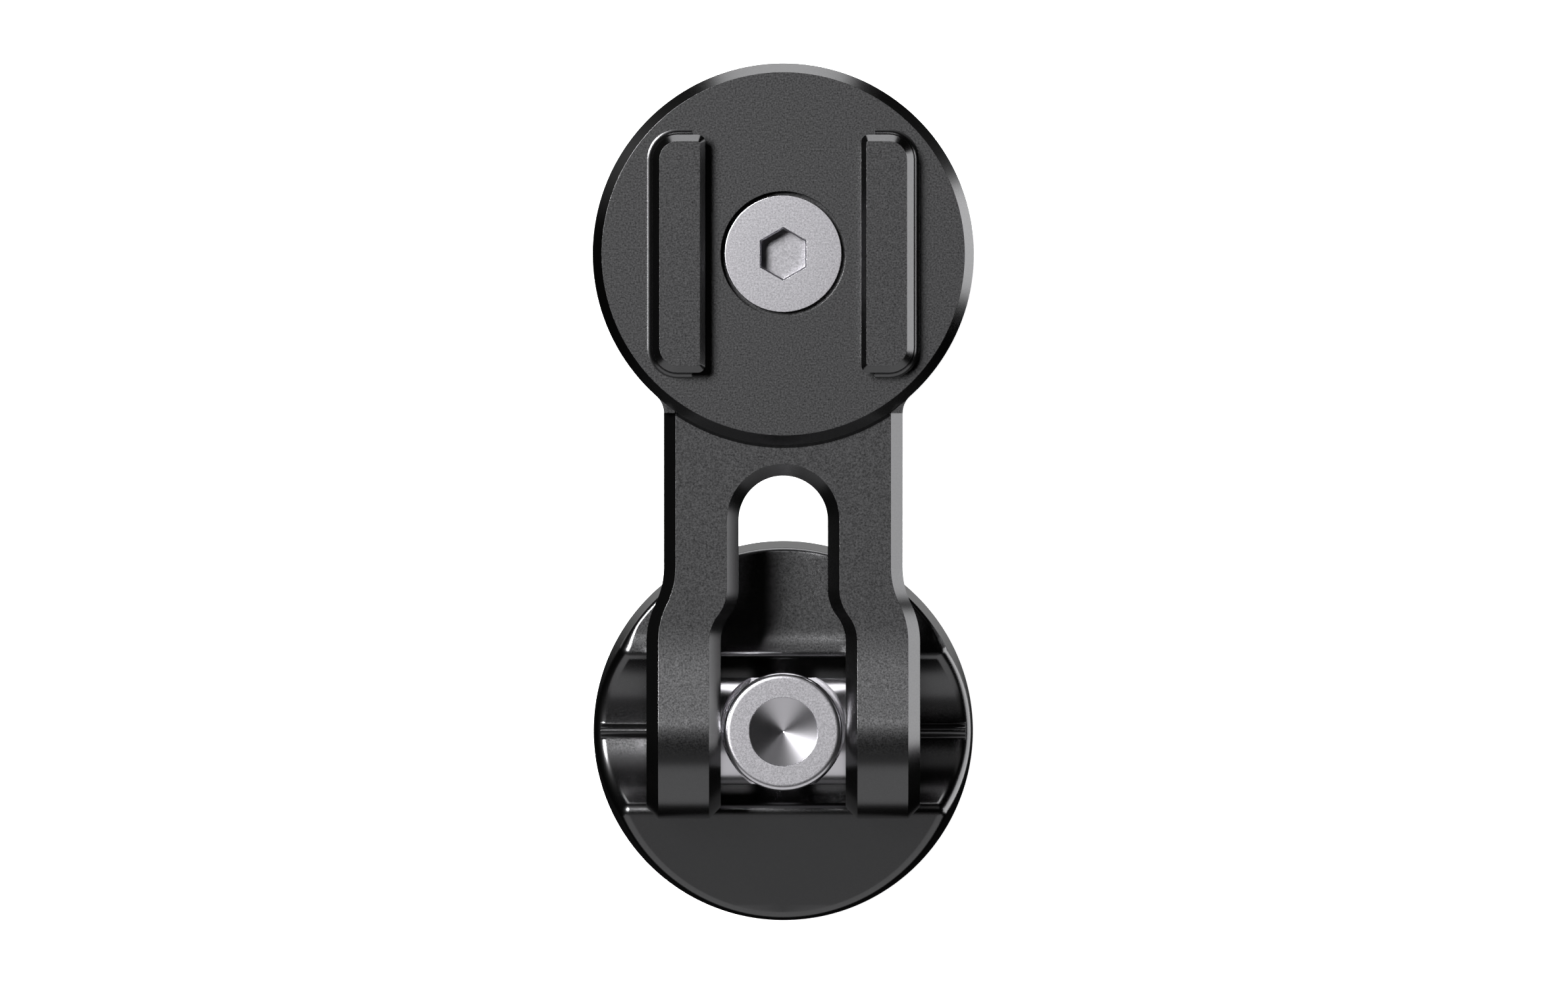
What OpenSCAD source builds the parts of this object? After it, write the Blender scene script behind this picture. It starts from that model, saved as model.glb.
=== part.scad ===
// Phone mount that replaces the top cap of a bicycle stem.
// A round base cap carries a tilting fork arm; the clamp bolt draws a cross barrel, the fork and
// the base down onto the stem, and a twist-lock disc on the arm's head takes the phone case.
//
// Origin: on the clamp bolt's axis, in the plane where the base cap rests on the stem.
// +Z is up along the bolt, +Y points from the bolt towards the head, +X is across the bike.

/* [Layout] */
// Height of the tilt axis above the seat on the stem
pivot_h = 10; // [9.6:0.1:10.4]
// Distance from the tilt axis to the centre of the head
reach = 42.6; // [41:0.1:46]
// How far the arm tilts down from rest, in degrees
tilt_down = 15; // [5:1:15]
// How far the arm tilts up from rest, in degrees
tilt_up = 45; // [20:1:50]

/* [Base cap] */
// Outside diameter of the base cap at the seat
base_d = 34; // [33:0.1:36]
// Height of the flat land on the head side
land_h = 5.7; // [5.2:0.1:6]
// Draft of the base cap's side wall, in degrees
wall_draft = 6.5; // [4:0.5:8]
// Slope of the rider's side of the cap, in degrees
rider_slope = 22; // [16:1:24]
// Radius that rounds the two crests beside the trough
crest_round = 1; // [0.6:0.1:1.2]
// Width of the rib along the bottom of the trough
rib_w = 0.85; // [0.7:0.05:1]
// Height of the rib's top above the seat
rib_top = 2.8; // [2.6:0.1:2.9]
// Diameter of the spigot that centres the cap in the stem
spigot_d = 28; // [27.6:0.1:28.2]
// Depth of the spigot below the seat
spigot_h = 1.5; // [1:0.1:2]

/* [Fork arm] */
// Thickness of the arm
arm_t = 6; // [5.6:0.1:6.4]
// Width of the arm behind the head
neck_w = 21.3; // [20.5:0.1:22]
// Width across the outside of the two prongs
fork_w = 24.4; // [24:0.1:25]
// Width of the slot behind the head
slot_w = 7.95; // [7.4:0.05:8.4]
// Width between the two prongs
gap_w = 11.15; // [11:0.05:11.4]
// Distance from the tilt axis to the centre of the slot's round end
slot_end = 18.85; // [18:0.05:20]
// Radius of the round prong ends
eye_r = 7.83; // [7.7:0.01:7.9]
// Width of the 45 degree edge breaks
edge = 1.05; // [0.8:0.05:1.1]
// Slope of the prongs' top, in degrees
prong_slope = 5; // [4:0.5:6]

/* [Barrel and bolts] */
// Diameter of the cross barrel
barrel_d = 9.56; // [9.3:0.02:9.8]
// Length of the cross barrel
barrel_len = 23.4; // [22.8:0.1:23.8]
// How far the loose barrel may turn either side of the bolt's axis, in degrees
barrel_play = 5.4; // [4:0.1:5.4]
// Diameter of the clamp bolt's head
bolt_head_d = 10.5; // [10:0.1:10.6]
// Height of the clamp bolt's head
bolt_head_h = 6; // [5:0.1:6.2]
// Length of the clamp bolt under its head
bolt_len = 35; // [30:1:45]
// Length of the clamp bolt's thread
thread_len = 22; // [16:1:22]
// Nominal diameter of both bolts' threads
thread_d = 6; // [5.8:0.1:6]
// Diameter of the countersunk head screw's head
csk_head_d = 10.6; // [10:0.1:11]
// Width across the flats of the head screw's hexagon socket
hex_flats = 4.1; // [3.8:0.1:4.4]

/* [Head] */
// Diameter of the head and its disc
head_d = 34; // [33:0.1:35]
// Width, seen from above, of the steep chamfer round the disc
disc_edge = 0.82; // [0.6:0.02:1]
// Thickness of the disc
disc_t = 1.5; // [1.1:0.1:1.8]
// Distance from the middle of the disc to the inner side of each lug
lug_in = 6.95; // [6.6:0.05:7.2]
// Distance from the middle of the disc to the outer side of each lug
lug_out = 11.62; // [11:0.01:11.8]
// Length of each lug
lug_len = 21.2; // [20:0.1:21.6]
// Height of each lug above the disc
lug_h = 2.9; // [2.5:0.1:3.2]
// Depth of the undercut below each lug's lip
lug_undercut = 0.7; // [0.4:0.05:0.9]

/* [Hidden] */
$fn = 96;
small_fn = 48;            // for the dowels' holes

black_anodised = [0.13, 0.13, 0.14];
bright_steel = [0.74, 0.73, 0.76];
over = 1;                 // how far cutters run past the surface they cut
run_fit = 0.05;           // radial clearance of pieces that turn in one another
press = 0.01;             // radial interference of pressed and threaded pairs

base_r = base_d / 2;
trough_r = eye_r + 0.07;  // the prongs' round ends turn in the trough
boss_r = 6;               // boss round the bolt under the cap
hole_fit = 0.2;           // radial clearance of the plain holes that the bolts pass through
boss_bore_r = thread_d / 2 + hole_fit;
spigot_wall = 2.5;
rib_foot = 0.36;          // widening at the foot of the rib
crest_over = 6;           // degrees by which a crest's arc runs past the trough's wall

neck_x = neck_w / 2;
flat_x = neck_x - edge;   // half width of the arm's flat top
fork_x = fork_w / 2;
slot_x = slot_w / 2;
gap_x = gap_w / 2;
bend_start = 8;           // where both sides of a prong start to bend inwards
outer_bend = 6.7;         // length of the bend on the outer side
inner_bend = 4.7;         // length of the bend on the inner side
bend_steps = 16;
blend_steps = 5;
crease = 0.02;            // how far the bar's skin lies inside the eyes where they meet
tangent_y = eye_r * sin(prong_slope);
blend_end = 9.5;          // where the sloped top has run out into the flat top
blend_len = 4;
blend_r = blend_len / tan(prong_slope);
arm_top = pivot_h + eye_r / cos(prong_slope) - crease - tan(prong_slope) * (blend_end - blend_len / 2);
arm_bottom = arm_top - arm_t;
head_edge = 0.5;          // broken edge under the head
rib_gap = 0.25;           // between the rib and the reliefs in the prongs
relief_r = pivot_h - rib_top - rib_gap;
stop_angle = 6.5;         // half the angle that the rib takes up in a prong's relief

head_r = head_d / 2;
boss_rise = 0.7;          // the head stands this far above the arm
boss_foot = 0.3;          // widening of the head's sloped foot on the arm
rim_land = 0.08;          // upright part of the disc's rim, below its chamfer
seat_z = arm_top + boss_rise;
disc_top = seat_z + disc_t;
locate_r = 12.5;          // spigot under the disc, in the pocket of the arm's head
locate_t = 2.4;
pocket_z = seat_z - locate_t;
web_r = 2;                // inside corner between the head and the arm's side
dowel_r = 1;
dowel_circle = 9;
dowel_len = 3.8;
dowel_gap = 0.1;          // above the dowels in the disc's holes
insert_r = 4;
insert_flange_r = 5.5;
insert_flange_t = 1;

csk_sink = 0.32;          // the head screw lies this far below the disc's face
csk_gap = 0.28;           // open ring round the sunk screw head
csk_seat = 0.8;           // the ring's depth below the screw's top
csk_top = disc_top - csk_sink;
csk_r = csk_head_d / 2;
screw_r = thread_d / 2;
thread_depth = 0.65;
pitch_r = screw_r - thread_depth / 2; // the clamp bolt's thread stands as a cylinder
screw_recess = 0.4;       // the head screw ends this far inside the arm's underside
screw_tip = arm_bottom + screw_recess;
hex_depth = 2.2;

barrel_r = barrel_d / 2;
barrel_edge = 0.4;
bolt_head_r = bolt_head_d / 2;
play_gap = 0.05;          // left between bolt and barrel at the end of the barrel's play
barrel_bore_r = screw_r + barrel_r * sin(barrel_play) + play_gap;
bolt_seat = 0.5;          // bolt seat in the barrel, above the barrel's axis
bolt_lift = bolt_head_r * sin(barrel_play) + play_gap;
head_gap = 0.32;          // round the bolt's head in the barrel
counterbore_r = bolt_head_r + head_gap;
bolt_under = pivot_h + bolt_seat + bolt_lift;
bolt_edge = 0.4;
bolt_tip = 0.8;           // chamfer at the clamp bolt's tip
drive_r = 3.05;           // round recess in the clamp bolt's head
drive_wall = 0.1;
drive_cone = 1.4;

lug_edge = 0.6;           // broken edge on a lug's outer side and ends
inner_edge = 0.47;        // broken edge on its inner side
lug_lip = 1.1;            // thickness of the lip over the undercut
lug_root = 0.5;           // how far a lug reaches into the disc, to be one with it
lug_fillet = 0.5;         // hollow fillet round the foot of a lug's outer side and ends
fillet_start = 8.15;      // distance from the middle of the disc at which the fillet begins
outer_corner = 2.2;
inner_corner = 0.65;

// ---- helpers ----

// Points on an arc about [cx, cy], from angle a0 to angle a1
function arc(cx, cy, r, a0, a1, n = 8) =
    [for (i = [0:n]) let (a = a0 + (a1 - a0) * i / n) [cx + r * cos(a), cy + r * sin(a)]];

// Sideways shift at distance t along an S-bend made of two equal arcs
function bend(t, len, shift) =
    let (r = (len * len + shift * shift) / (4 * shift), u = max(0, min(len, t)))
    u < len / 2 ? r - sqrt(r * r - u * u) : shift - r + sqrt(r * r - (len - u) * (len - u));

// A closed solid through rings of points with equal counts. Seen from the last ring's side,
// each ring runs anticlockwise.
module loft(rings) {
    n = len(rings[0]);
    last = len(rings) - 1;
    polyhedron(
        points = [for (ring = rings) for (p = ring) p],
        faces = concat(
            [[for (i = [0:n - 1]) i]],
            [for (k = [0:last - 1]) for (i = [0:n - 1])
                let (a = k * n + i, b = k * n + (i + 1) % n) [b, a, a + n, b + n]],
            [[for (i = [n - 1:-1:0]) last * n + i]]),
        convexity = 4);
}

// Turns a solid drawn along +Z so that it lies along +X, with its own +X pointing to -Z
module along_x() {
    rotate([0, 90, 0]) children();
}

// Round rod standing on z = 0, with a 45 degree edge break at both ends
module edged_rod(r, len, bevel) {
    rotate_extrude()
        polygon([[0, 0], [r - bevel, 0], [r, bevel], [r, len - bevel], [r - bevel, len], [0, len]]);
}

// Places a solid on the tilt axis, in the fork's own frame
module at_pivot() {
    translate([0, 0, pivot_h]) children();
}

module both_sides() {
    children();
    mirror([1, 0, 0]) children();
}

// ---- base cap ----

// Outline of the base cap before the trough is cut, seen from the side: [y, z] with the rider's
// side at negative y. Each crest's arc runs a little past the point where the trough meets it.
function cap_outline() =
    let (far = base_r + over, cz = land_h - crest_round,
         cy = sqrt(pow(trough_r + crest_round, 2) - pow(pivot_h - cz, 2)),
         meet = atan2(pivot_h - cz, cy) - crest_over,
         slope_y = -cy - crest_round * sin(rider_slope),
         slope_z = cz + crest_round * cos(rider_slope))
    concat(
        [[-far, 0], [far, 0], [far, land_h]],
        arc(cy, cz, crest_round, 90, 180 - meet),
        arc(-cy, cz, crest_round, meet, 90 + rider_slope),
        [[-far, slope_z - (far + slope_y) * tan(rider_slope)]]);

// Rib seen from the end: [y, z], a full round on parallel sides with a sloped foot
function rib_outline() =
    let (r = rib_w / 2, floor_z = pivot_h - trough_r)
    concat(
        [[-r - rib_foot, floor_z - over], [r + rib_foot, floor_z - over], [r + rib_foot, floor_z],
         [r, floor_z + rib_foot]],
        arc(0, rib_top - r, r, 0, 180),
        [[-r, floor_z + rib_foot], [-r - rib_foot, floor_z]]);

// Extrudes a [y, z] outline across the whole cap
module across(outline) {
    rotate([90, 0, 90]) linear_extrude(2 * (base_r + over), center = true) polygon(outline);
}

module cap_wall() {
    cylinder(h = land_h, r1 = base_r, r2 = base_r - land_h * tan(wall_draft));
}

module base_cap() {
    color(black_anodised)
    difference() {
        union() {
            difference() {
                intersection() {
                    cap_wall();
                    across(cap_outline());
                }
                at_pivot() along_x() cylinder(h = 2 * base_d, r = trough_r, center = true);
            }
            intersection() {
                cap_wall();
                across(rib_outline());
            }
            translate([0, 0, -spigot_h]) difference() {
                cylinder(h = spigot_h, r = spigot_d / 2);
                translate([0, 0, -over]) difference() {
                    cylinder(h = spigot_h + over, r = spigot_d / 2 - spigot_wall);
                    cylinder(h = spigot_h + over, r = boss_r);
                }
            }
        }
        translate([0, 0, -spigot_h - over]) cylinder(h = pivot_h + spigot_h, r = boss_bore_r);
    }
}

// ---- barrel and clamp bolt ----

module pivot_barrel() {
    color(bright_steel)
    at_pivot() rotate([-barrel_play, 0, 0]) difference() {
        along_x() translate([0, 0, -barrel_len / 2]) edged_rod(barrel_r, barrel_len, barrel_edge);
        cylinder(h = barrel_d + over, r = barrel_bore_r, center = true);
        translate([0, 0, bolt_seat]) cylinder(h = barrel_d, r = counterbore_r);
    }
}

module clamp_bolt() {
    thread_top = thread_len - bolt_len;
    drive_z = bolt_head_h - drive_wall;
    color(bright_steel)
    translate([0, 0, bolt_under]) rotate_extrude()
        polygon([[0, -bolt_len], [pitch_r - bolt_tip, -bolt_len], [pitch_r, bolt_tip - bolt_len],
                 [pitch_r, thread_top], [screw_r, thread_top], [screw_r, 0], [bolt_head_r, 0],
                 [bolt_head_r, bolt_head_h - bolt_edge], [bolt_head_r - bolt_edge, bolt_head_h],
                 [drive_r, bolt_head_h], [drive_r, drive_z], [0, drive_z - drive_cone]]);
}

// ---- fork arm ----

// Height of the prong's top at distance y from the tilt axis
function top_z(y) =
    let (start = blend_end - blend_len)
    y >= blend_end ? arm_top :
    y > start ? arm_top + pow(blend_end - y, 2) / (2 * blend_r) :
    arm_top + blend_len * tan(prong_slope) / 2 + (start - y) * tan(prong_slope);

// Cross-section of a bar with broken edges between x0 and x1, as a ring of points at y
function bar_ring(y, x0, x1, z1) =
    [for (p = [[x0 + edge, arm_bottom], [x1 - edge, arm_bottom], [x1, arm_bottom + edge], [x1, z1 - edge],
               [x1 - edge, z1], [x0 + edge, z1], [x0, z1 - edge], [x0, arm_bottom + edge]])
        [p[0], y, p[1]]];

function prong_ring(y) =
    bar_ring(y,
        gap_x - bend(y - bend_start, inner_bend, gap_x - slot_x),
        fork_x - bend(y - bend_start, outer_bend, fork_x - neck_x),
        top_z(y));

module prong_bar() {
    blend_start = blend_end - blend_len;
    stations = concat(
        [slot_end],
        [for (i = [bend_steps:-1:1]) bend_start + outer_bend * i / bend_steps],
        [for (i = [blend_steps:-1:0]) blend_start + (bend_start - blend_start) * i / blend_steps],
        [tangent_y]);
    loft([for (y = stations) prong_ring(y)]);
}

// Round end of a prong, with the same broken edges as the bar
module prong_eye() {
    translate([gap_x, 0, 0]) along_x() edged_rod(eye_r, fork_x - gap_x, edge);
}

// Pocket in a prong's round end that clears the cap's rib over the whole tilt
module rib_relief() {
    span = tilt_up + tilt_down + 2 * stop_angle;
    translate([gap_x - over, 0, 0]) along_x() rotate([0, 0, -tilt_up - stop_angle])
        rotate_extrude(angle = span) translate([relief_r, 0]) square([eye_r, fork_x - gap_x + 2 * over]);
}

module neck() {
    loft([for (y = [reach - locate_r, slot_end]) bar_ring(y, -neck_x, neck_x, arm_top)]);
}

// Round end of the slot, widened at the top and bottom by the broken edges
module slot_round() {
    wide = slot_x + edge + over;
    translate([0, slot_end, 0]) rotate_extrude(angle = 180)
        polygon([[0, arm_bottom - over], [wide, arm_bottom - over], [slot_x, arm_bottom + edge],
                 [slot_x, arm_top - edge], [wide, arm_top + over], [0, arm_top + over]]);
}

// Fills the inside corner between the round head and the arm's side
module head_web() {
    cx = neck_x + web_r;
    dy = sqrt(pow(head_r + web_r, 2) - pow(cx, 2));
    web_end = 180 - atan2(dy, cx);
    translate([0, 0, arm_bottom + edge]) linear_extrude(seat_z - arm_bottom - edge)
        polygon(concat(
            [[flat_x - crease, reach - dy]],
            arc(cx, reach - dy, web_r, 180, web_end),
            [[flat_x - crease, reach - dy + 2 * web_r]]));
}

module arm_head() {
    translate([0, reach, 0]) rotate_extrude()
        polygon([[0, arm_bottom], [head_r - head_edge, arm_bottom], [head_r, arm_bottom + head_edge],
                 [head_r, seat_z], [0, seat_z]]);
    intersection() {
        translate([0, reach, 0]) rotate_extrude()
            polygon([[0, pocket_z], [head_r + boss_foot, pocket_z], [head_r + boss_foot, arm_top],
                     [head_r, seat_z], [0, seat_z]]);
        translate([-flat_x, 0, 0]) cube([2 * flat_x, reach, 2 * arm_top]);
    }
}

module fork_arm() {
    color(black_anodised)
    difference() {
        union() {
            both_sides() {
                prong_bar();
                at_pivot() prong_eye();
                head_web();
            }
            neck();
            arm_head();
        }
        slot_round();
        at_pivot() along_x() cylinder(h = fork_w + 2 * over, r = barrel_r + run_fit, center = true);
        both_sides() at_pivot() rib_relief();
        translate([0, reach, 0]) {
            translate([0, 0, pocket_z]) cylinder(h = locate_t + over, r = locate_r + run_fit);
            translate([0, 0, arm_bottom - over]) cylinder(h = arm_t, r = insert_r - press);
            translate([0, 0, arm_bottom - over]) cylinder(h = insert_flange_t + over, r = insert_flange_r);
            for (side = [-1, 1]) translate([0, side * dowel_circle, pocket_z - dowel_len / 2])
                cylinder(h = dowel_len, r = dowel_r - press, $fn = small_fn);
        }
    }
}

// ---- head ----

module thread_insert() {
    body = pocket_z - arm_bottom;
    color(bright_steel)
    translate([0, reach, arm_bottom]) difference() {
        union() {
            cylinder(h = body, r = insert_r);
            cylinder(h = insert_flange_t, r = insert_flange_r - run_fit);
        }
        translate([0, 0, -over]) cylinder(h = body + 2 * over, r = screw_r - press);
    }
}

module head_dowels() {
    color(bright_steel)
    for (side = [-1, 1]) translate([0, reach + side * dowel_circle, pocket_z - dowel_len / 2])
        cylinder(h = dowel_len - dowel_gap, r = dowel_r, $fn = small_fn);
}

// Outline of the right-hand lug, drawn in by d on its ends and outer side and by e on its inner side
function lug_outline(d, e = 0) =
    let (x0 = lug_in + e, x1 = lug_out - d, y = lug_len / 2 - d,
         ro = outer_corner - d, ri = inner_corner - e)
    concat(
        arc(x1 - ro, ro - y, ro, -90, 0),
        arc(x1 - ro, y - ro, ro, 0, 90),
        arc(x0 + ri, y - ri, ri, 90, 180),
        arc(x0 + ri, ri - y, ri, 180, 270));

function lift(outline, z) = [for (p = outline) [p[0], p[1], z]];

// Hollow fillet between the disc and the lug's outer side and ends
module lug_foot() {
    intersection() {
        loft(concat(
            [lift(lug_outline(-lug_fillet), -lug_root)],
            [for (a = [0:30:90])
                lift(lug_outline(-lug_fillet * (1 - sin(a))), lug_fillet * (1 - cos(a)))]));
        translate([fillet_start, -lug_len, -lug_h]) cube([lug_out, 2 * lug_len, 2 * lug_h]);
    }
}

module lug() {
    translate([0, 0, -lug_root]) linear_extrude(lug_root + lug_h - lug_lip / 2)
        polygon(lug_outline(lug_undercut));
    loft([lift(lug_outline(0), lug_h - lug_lip), lift(lug_outline(0), lug_h - lug_edge),
          lift(lug_outline(lug_edge, inner_edge), lug_h)]);
    lug_foot();
}

module head_disc() {
    screw_hole_r = screw_r + hole_fit;
    color(black_anodised)
    translate([0, reach, 0]) {
        difference() {
            rotate_extrude()
                polygon([[0, pocket_z], [locate_r, pocket_z], [locate_r, seat_z], [head_r, seat_z],
                         [head_r, seat_z + rim_land], [head_r - disc_edge, disc_top], [0, disc_top]]);
            translate([0, 0, pocket_z - over]) cylinder(h = locate_t + disc_t + over, r = screw_hole_r);
            translate([0, 0, csk_top - csk_r + screw_r])
                cylinder(h = csk_r - screw_r, r1 = screw_r, r2 = csk_r);
            translate([0, 0, csk_top - csk_seat]) cylinder(h = csk_seat + over, r = csk_r + csk_gap);
            for (turn = [0:90:270]) rotate([0, 0, turn]) translate([dowel_circle, 0, pocket_z - over])
                cylinder(h = dowel_len / 2 + over, r = dowel_r + run_fit, $fn = small_fn);
        }
        both_sides() translate([0, 0, disc_top]) lug();
    }
}

module head_screw() {
    cone_h = csk_r - screw_r;
    hex_r = hex_flats / 2 / cos(30);
    color(bright_steel)
    translate([0, reach, 0]) difference() {
        rotate_extrude()
            polygon([[0, screw_tip], [screw_r, screw_tip], [screw_r, csk_top - cone_h], [csk_r, csk_top],
                     [0, csk_top]]);
        translate([0, 0, csk_top - hex_depth]) rotate([0, 0, 30])
            cylinder(h = hex_depth + over, r = hex_r, $fn = 6);
    }
}

base_cap();
pivot_barrel();
clamp_bolt();
fork_arm();
thread_insert();
head_dowels();
head_disc();
head_screw();
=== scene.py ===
"""Looks of the stem phone mount: finely modelled pieces that ride on the CAD bodies, with a studio.

Lengths in the shape functions are millimetres in the CAD frame; solid() turns them into metres.
"""

import math

import bmesh
import bpy
import numpy as np
from mathutils import Matrix, Vector


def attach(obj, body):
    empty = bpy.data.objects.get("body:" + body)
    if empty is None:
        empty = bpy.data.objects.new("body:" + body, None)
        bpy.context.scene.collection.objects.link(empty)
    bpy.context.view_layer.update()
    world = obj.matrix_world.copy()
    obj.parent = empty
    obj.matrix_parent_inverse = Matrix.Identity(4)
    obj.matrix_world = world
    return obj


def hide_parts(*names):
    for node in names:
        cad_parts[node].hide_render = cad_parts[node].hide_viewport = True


MM = 0.001

# Layout
PIVOT_H = 10.0
REACH = 42.6

# Base cap
BASE_R = 17.0
LAND_H = 5.7
DRAFT = math.radians(6.5)
SLOPE = math.radians(22)
CREST = 1.0  # radius of the two crests beside the trough
STEP_START = 7.6  # where the land starts to step down, from the tilt axis
STEP_LEN = 1.3
STEP_DROP = 0.08
RIM_R = 1.0  # rounded rim round the cap's top
LAND_RIM = 0.4  # the same rim beside the forward land
RIM_GROWTH = 2.6  # length over which one grows into the other
RIB_R = 0.425
RIB_TOP = 2.8
RIB_FOOT = 0.36
RIB_SHORT = 0.35  # how far the rib ends inside the wall
SPIGOT_R = 14.0
SPIGOT_H = 1.5
SPIGOT_WALL = 2.5
SPIGOT_EDGE = 0.3
BOSS_R = 6.0
BOSS_BORE = 3.2

# Fork arm
ARM_T = 6.0
NECK_X = 10.65
FORK_X = 12.2
SLOT_X = 3.975
GAP_X = 5.575
SLOT_END = 18.85
EYE_R = 7.83
TROUGH_R = EYE_R + 0.07
EDGE = 1.05
PRONG_SLOPE = math.radians(5)
BEND_START = 8.0
OUTER_BEND = 6.7
INNER_BEND = 4.7
BLEND_END = 9.5  # where the prong's slope has run out into the flat top
BLEND = 4.0
CREASE = 0.02  # how far the bar's skin lies inside the round ends where they meet
EYE_FILLET = 1.5
RELIEF_R = 6.95
RELIEF_ANGLES = (-51.5, 21.5)
ARM_TOP = PIVOT_H + EYE_R / math.cos(PRONG_SLOPE) - CREASE - math.tan(PRONG_SLOPE) * (BLEND_END - BLEND / 2)
ARM_BOTTOM = ARM_TOP - ARM_T

# Head
HEAD_R = 17.0
HEAD_EDGE = 0.5  # rounded edge under the head
SEAT_EDGE = 0.06  # fine edge under the disc
BOSS_RISE = 0.7  # the head stands this far above the arm
BOSS_FOOT = 0.3  # widening of its sloped foot
BOSS_ROOT = 0.2  # how far that foot reaches into the arm
SEAT_Z = ARM_TOP + BOSS_RISE
DISC_T = 1.5
DISC_EDGE = 0.82
RIM_LAND = 0.08
DISC_TOP = SEAT_Z + DISC_T
LOCATE_R = 12.5
LOCATE_EDGE = 0.2
POCKET_Z = SEAT_Z - 2.4
WEB_R = 2.0
DOWEL_R = 1.0
DOWEL_CIRCLE = 9.0
DOWEL_DEPTH = 1.9
INSERT_R = 4.0
FLANGE_R = 5.5
FLANGE_T = 1.0
LUG_IN = 6.95
LUG_OUT = 11.62
LUG_Y = 10.6
LUG_H = 2.9
LUG_LIP = 1.1
LUG_UNDERCUT = 0.7
LUG_EDGE = 0.6
LUG_INNER_EDGE = 0.47
LUG_CORNER = 2.2
LUG_INNER_CORNER = 0.65
LUG_LEAST_CORNER = 0.2
LUG_FILLET = 0.6
FILLET_START = 8.15  # where the fillet round a lug's foot starts, from the middle of the disc
CSK_R = 5.3
CSK_EDGE = 0.06
CSK_SINK = 0.32  # the screw's head lies this far below the disc's face
CSK_GAP = 0.28  # open ring round it
CSK_SEAT = 0.8  # depth of that ring
SCREW_TIP = ARM_BOTTOM + 0.4
HEX_R = 2.05 / math.cos(math.radians(30))
HEX_DEPTH = 2.2
HEX_EDGE = 0.04  # broken edge at the socket's mouth
HEX_LEAD = 0.06  # how far the cutting shape stands above it
HEX_FOOT = (0.12, 0.1)  # width and height of the slope round the socket's floor
NECK_LAND = 0.3  # plain length under the head screw's cone
HOLE_FIT = 0.2

# Barrel and bolt
BARREL_R = 4.78
BARREL_X = 11.7
BARREL_EDGE = 0.4
BARREL_TILT = math.radians(-5.4)
BARREL_BORE = 3.5
BARREL_SEAT = 0.5
COUNTERBORE_R = 5.57
RUN_FIT = 0.05
HEAD_BOLT_R = 5.25
HEAD_BOLT_H = 6.0
HEAD_BOLT_EDGE = 0.45
HEAD_BOLT_FOOT = 0.25  # rounded edge under the head
BOLT_LEN = 35.0
BOLT_UNDER = 11.044
THREAD_LEN = 22.0
THREAD_R = 2.95
THREAD_TIP = 0.8
SCREW_R = 3.0
PITCH = 1.0
THREAD_DEPTH = 0.6
CORE_R = 0.5  # no thread is cut closer to the axis
THREAD_CREST = 0.14  # share of half a pitch that the crest takes
THREAD_ROOT = 0.22  # share that the root takes
DRIVE_R = 3.05
DRIVE_WALL = 0.1
DRIVE_CONE = 1.4
DRIVE_EDGE = 0.04
SUPPORT = 0.1  # distance of the points that keep a flat face's shading flat beside a rounded edge
RUNOUT = 0.05  # from the thread's end to the full shank

# Studio, with lengths in metres
AIM = (0, 0.021, 0.01)  # where the lights point
FLOOR_Z = -0.027
FLOOR_SIZE = 6
PANEL_DISTANCE = 4.0
DARK_WORLD = 0.004  # strength of the surroundings that the metals reflect
PALE_WORLD = 1.0  # strength of the background that the camera sees
VIEW_CENTRE = (0.00007, 0.02124)
VIEW_DISTANCE = 3.5
VIEW_WIDTH = 0.1405
SENSOR = 36.0  # sensor width in millimetres, as the lens length is too

# Steps along curves
ROUND_STEPS = 160
LAND_STEPS = 56
CREST_STEPS = 14
TROUGH_STEPS = 72
SLOPE_STEPS = 48
RIM_STEPS = 8
SLOT_STEPS = 24
BEND_STEPS = 40
EYE_STEPS = 88
FILLET_STEPS = 8
SCREW_STEPS = 120
TIP_STEPS = 8
STEPS_PER_PITCH = 14
DOWEL_STEPS = 40

# Joining and cutting
BURIED = 0.3  # how far a joined shape reaches into its neighbour
OVER = 1.0  # how far a cutting shape runs past the surface that it cuts
HAIR = 0.01  # keeps two faces from lying in one plane
TINY = 1e-6  # allowance for rounding


# ---- outlines ----


def arc(cx, cy, radius, start, end, steps):
    """Points on an arc about (cx, cy), from angle start to angle end in degrees."""
    angles = np.radians(np.linspace(start, end, steps + 1))
    return [(cx + radius * math.cos(a), cy + radius * math.sin(a)) for a in angles]


def rounded(points, radii, steps=6):
    """A closed outline whose corners are rounded to their own radii; 0 leaves a corner sharp."""
    out = []
    count = len(points)
    for i, (point, radius) in enumerate(zip(points, radii)):
        here = Vector(point)
        if radius == 0:
            out.append(tuple(here))
            continue
        back = (Vector(points[i - 1]) - here).normalized()
        ahead = (Vector(points[(i + 1) % count]) - here).normalized()
        half = back.angle(ahead) / 2
        centre = here + (back + ahead).normalized() * radius / math.sin(half)
        first = (here + back * radius / math.tan(half) - centre).normalized()
        last = (here + ahead * radius / math.tan(half) - centre).normalized()
        out += [tuple(centre + radius * first.slerp(last, k / steps)) for k in range(steps + 1)]
    return out


def s_bend(distance, length, shift):
    """Sideways shift along an S-bend made of two equal arcs."""
    radius = (length**2 + shift**2) / (4 * shift)
    u = min(max(distance, 0), length)
    if u < length / 2:
        return radius - math.sqrt(radius**2 - u**2)
    return shift - radius + math.sqrt(radius**2 - (length - u) ** 2)


# ---- shapes: each returns (points, faces) of a closed skin ----


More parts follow.
